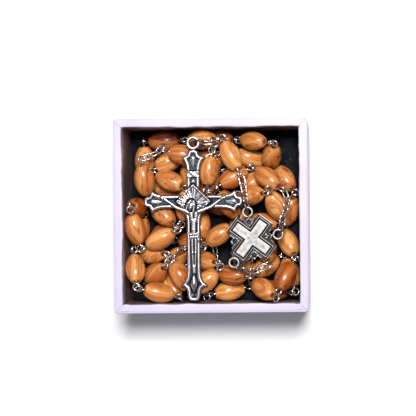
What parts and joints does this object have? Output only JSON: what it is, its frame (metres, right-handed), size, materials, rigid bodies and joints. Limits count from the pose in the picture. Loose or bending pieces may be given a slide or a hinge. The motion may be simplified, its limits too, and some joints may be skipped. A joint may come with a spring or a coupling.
{
  "type": "rosary presentation box",
  "caption": "Open square paper-covered tray with a black velvet insert, holding a wooden bead rosary with a flared-end crucifix and a square-armed cross medal.",
  "frame": {"origin": "centre of the tray's underside, where it rests", "axes": "+Z up out of the open tray; +Y towards the crucifix's ring; +X to the right seen from above with +Y up"},
  "size_m": [0.055, 0.055, 0.027],
  "materials": {
    "greyboard": "matt",
    "stay_paper": "matt",
    "white_paper": "satin",
    "foam": "matt",
    "black_velvet": "matt",
    "olive_wood": "satin",
    "antique_silver": "polished relief over dark recesses",
    "dark_metal": "satin",
    "silver_wire": "satin"
  },
  "bodies": {
    "tray": {"back_wall_board": "greyboard", "bottom_board": "greyboard", "corner_stays": "stay_paper", "front_wall_board": "greyboard", "left_wall_board": "greyboard", "right_wall_board": "greyboard", "wrap_paper": "white_paper"},
    "insert": {"foam_block": "foam", "velvet_cover": "black_velvet"},
    "rosary": {"centre_medal": "antique_silver", "crucifix_jump_ring": "dark_metal", "decade_1_eye_pins": "silver_wire", "decade_1_lower_beads": "olive_wood", "decade_2_eye_pins": "silver_wire", "decade_2_lower_beads": "olive_wood", "decade_3_eye_pins": "silver_wire", "decade_3_lower_beads": "olive_wood", "decade_4_eye_pins": "silver_wire", "decade_4_lower_beads": "olive_wood", "decade_5_eye_pins": "silver_wire", "decade_5_lower_beads": "olive_wood", "decade_chain_links": "silver_wire", "medal_jump_rings": "dark_metal", "pendant_chain_links": "silver_wire", "pendant_eye_pins": "silver_wire", "spacer_eye_pins": "silver_wire", "spacer_lower_beads": "olive_wood"},
    "crucifix": {"crucifix": "antique_silver"},
    "decade_1_bead_1": {"decade_1_bead_1": "olive_wood"},
    "decade_1_bead_3": {"decade_1_bead_3": "olive_wood"},
    "decade_1_bead_5": {"decade_1_bead_5": "olive_wood"},
    "decade_1_bead_6": {"decade_1_bead_6": "olive_wood"},
    "decade_1_bead_9": {"decade_1_bead_9": "olive_wood"},
    "decade_2_bead_6": {"decade_2_bead_6": "olive_wood"},
    "decade_2_bead_7": {"decade_2_bead_7": "olive_wood"},
    "decade_3_bead_1": {"decade_3_bead_1": "olive_wood"},
    "decade_3_bead_2": {"decade_3_bead_2": "olive_wood"},
    "decade_3_bead_3": {"decade_3_bead_3": "olive_wood"},
    "decade_3_bead_4": {"decade_3_bead_4": "olive_wood"},
    "decade_3_bead_5": {"decade_3_bead_5": "olive_wood"},
    "decade_3_bead_7": {"decade_3_bead_7": "olive_wood"},
    "decade_4_bead_2": {"decade_4_bead_2": "olive_wood"},
    "decade_4_bead_3": {"decade_4_bead_3": "olive_wood"},
    "decade_4_bead_6": {"decade_4_bead_6": "olive_wood"},
    "decade_5_bead_10": {"decade_5_bead_10": "olive_wood"},
    "decade_5_bead_2": {"decade_5_bead_2": "olive_wood"},
    "decade_5_bead_3": {"decade_5_bead_3": "olive_wood"},
    "decade_5_bead_4": {"decade_5_bead_4": "olive_wood"},
    "decade_5_bead_7": {"decade_5_bead_7": "olive_wood"},
    "pendant_bead_1": {"pendant_bead_1": "olive_wood"},
    "pendant_bead_2": {"pendant_bead_2": "olive_wood"},
    "pendant_bead_3": {"pendant_bead_3": "olive_wood"},
    "pendant_bead_4": {"pendant_bead_4": "olive_wood"},
    "pendant_bead_5": {"pendant_bead_5": "olive_wood"},
    "spacer_bead_2": {"spacer_bead_2": "olive_wood"},
    "spacer_bead_3": {"spacer_bead_3": "olive_wood"}
  },
  "joints": [
    {"name": "insert_lift", "type": "slide", "parent": "tray", "child": "insert", "axis": [0, 0, 1], "range_m": [0, 0.03]},
    {"name": "rosary_lift", "type": "slide", "parent": "insert", "child": "rosary", "axis": [0, 0, 1], "range_m": [0, 0.03]},
    {"name": "crucifix_swing", "type": "hinge", "parent": "rosary", "child": "crucifix", "pos_m": [-0.005, 0.0206, 0.0251], "axis": [-1, 0, 0], "range_deg": [0, 45]},
    {"name": "decade_1_bead_1_spin", "type": "hinge", "parent": "rosary", "child": "decade_1_bead_1", "pos_m": [0.01589, 0.01055, 0.02076], "axis": [0.714, -0.5563, 0.4251], "continuous": true},
    {"name": "decade_1_bead_3_spin", "type": "hinge", "parent": "rosary", "child": "decade_1_bead_3", "pos_m": [0.00459, 0.00315, 0.02114], "axis": [-0.56, 0.8212, 0.1095], "continuous": true},
    {"name": "decade_1_bead_5_spin", "type": "hinge", "parent": "rosary", "child": "decade_1_bead_5", "pos_m": [0.01823, 0.00261, 0.02204], "axis": [-0.3089, 0.801, 0.5128], "continuous": true},
    {"name": "decade_1_bead_6_spin", "type": "hinge", "parent": "rosary", "child": "decade_1_bead_6", "pos_m": [0.01109, 0.00574, 0.02113], "axis": [0.7727, 0.1024, 0.6265], "continuous": true},
    {"name": "decade_1_bead_9_spin", "type": "hinge", "parent": "rosary", "child": "decade_1_bead_9", "pos_m": [0.01175, 0.02135, 0.02111], "axis": [0.8787, -0.1116, 0.4642], "continuous": true},
    {"name": "decade_2_bead_6_spin", "type": "hinge", "parent": "rosary", "child": "decade_2_bead_6", "pos_m": [0.02081, -0.01747, 0.02269], "axis": [0.3872, 0.8476, -0.363], "continuous": true},
    {"name": "decade_2_bead_7_spin", "type": "hinge", "parent": "rosary", "child": "decade_2_bead_7", "pos_m": [0.02143, -0.008, 0.01673], "axis": [-0.3863, 0.7576, -0.5262], "continuous": true},
    {"name": "decade_3_bead_1_spin", "type": "hinge", "parent": "rosary", "child": "decade_3_bead_1", "pos_m": [-0.01938, 0.01027, 0.02168], "axis": [-0.1167, 0.9561, 0.2686], "continuous": true},
    {"name": "decade_3_bead_2_spin", "type": "hinge", "parent": "rosary", "child": "decade_3_bead_2", "pos_m": [-0.01421, 0.00057, 0.02119], "axis": [0.6833, -0.6324, 0.365], "continuous": true},
    {"name": "decade_3_bead_3_spin", "type": "hinge", "parent": "rosary", "child": "decade_3_bead_3", "pos_m": [-0.01475, -0.00653, 0.02303], "axis": [0.8769, 0.4326, 0.2094], "continuous": true},
    {"name": "decade_3_bead_4_spin", "type": "hinge", "parent": "rosary", "child": "decade_3_bead_4", "pos_m": [-0.02183, -0.0037, 0.02296], "axis": [-0.1939, 0.9422, 0.2733], "continuous": true},
    {"name": "decade_3_bead_5_spin", "type": "hinge", "parent": "rosary", "child": "decade_3_bead_5", "pos_m": [-0.02192, 0.00244, 0.01899], "axis": [-0.1529, 0.1311, 0.9795], "continuous": true},
    {"name": "decade_3_bead_7_spin", "type": "hinge", "parent": "rosary", "child": "decade_3_bead_7", "pos_m": [-0.02206, -0.01497, 0.02242], "axis": [-0.1371, 0.8667, -0.4796], "continuous": true},
    {"name": "decade_4_bead_2_spin", "type": "hinge", "parent": "rosary", "child": "decade_4_bead_2", "pos_m": [-0.00939, -0.0172, 0.02116], "axis": [-0.498, 0.8672, 0.007], "continuous": true},
    {"name": "decade_4_bead_3_spin", "type": "hinge", "parent": "rosary", "child": "decade_4_bead_3", "pos_m": [-0.00192, -0.01877, 0.02114], "axis": [0.6946, 0.7146, 0.0831], "continuous": true},
    {"name": "decade_4_bead_6_spin", "type": "hinge", "parent": "rosary", "child": "decade_4_bead_6", "pos_m": [0.00417, -0.02189, 0.01503], "axis": [0.9627, 0.1801, -0.2021], "continuous": true},
    {"name": "decade_5_bead_10_spin", "type": "hinge", "parent": "rosary", "child": "decade_5_bead_10", "pos_m": [0.00553, 0.01701, 0.02307], "axis": [-0.4253, 0.8894, -0.1673], "continuous": true},
    {"name": "decade_5_bead_2_spin", "type": "hinge", "parent": "rosary", "child": "decade_5_bead_2", "pos_m": [-0.00782, 0.00311, 0.02101], "axis": [0.2286, 0.9403, 0.2521], "continuous": true},
    {"name": "decade_5_bead_3_spin", "type": "hinge", "parent": "rosary", "child": "decade_5_bead_3", "pos_m": [-0.01228, 0.01006, 0.02077], "axis": [0.8411, -0.3584, 0.4051], "continuous": true},
    {"name": "decade_5_bead_4_spin", "type": "hinge", "parent": "rosary", "child": "decade_5_bead_4", "pos_m": [-0.01299, 0.01582, 0.01651], "axis": [0.8485, 0.4699, -0.2434], "continuous": true},
    {"name": "decade_5_bead_7_spin", "type": "hinge", "parent": "rosary", "child": "decade_5_bead_7", "pos_m": [-0.0202, 0.01587, 0.01496], "axis": [-0.0466, 0.997, 0.0619], "continuous": true},
    {"name": "pendant_bead_1_spin", "type": "hinge", "parent": "rosary", "child": "pendant_bead_1", "pos_m": [-0.00079, 0.01287, 0.02267], "axis": [0.1533, 0.987, 0.0488], "continuous": true},
    {"name": "pendant_bead_2_spin", "type": "hinge", "parent": "rosary", "child": "pendant_bead_2", "pos_m": [-0.00365, -0.00265, 0.01884], "axis": [-0.0586, 0.9123, -0.4052], "continuous": true},
    {"name": "pendant_bead_3_spin", "type": "hinge", "parent": "rosary", "child": "pendant_bead_3", "pos_m": [0.00189, -0.00559, 0.02209], "axis": [0.8039, 0.5915, 0.0622], "continuous": true},
    {"name": "pendant_bead_4_spin", "type": "hinge", "parent": "rosary", "child": "pendant_bead_4", "pos_m": [0.00892, -0.0072, 0.02064], "axis": [-0.2235, 0.8945, 0.3872], "continuous": true},
    {"name": "pendant_bead_5_spin", "type": "hinge", "parent": "rosary", "child": "pendant_bead_5", "pos_m": [0.01529, -0.00967, 0.02024], "axis": [-0.1322, 0.7451, -0.6537], "continuous": true},
    {"name": "spacer_bead_2_spin", "type": "hinge", "parent": "rosary", "child": "spacer_bead_2", "pos_m": [-0.00809, 0.01743, 0.02092], "axis": [0.9526, -0.2398, -0.1874], "continuous": true},
    {"name": "spacer_bead_3_spin", "type": "hinge", "parent": "rosary", "child": "spacer_bead_3", "pos_m": [-0.01673, -0.01664, 0.02], "axis": [0.6152, 0.4202, 0.6671], "continuous": true}
  ]
}
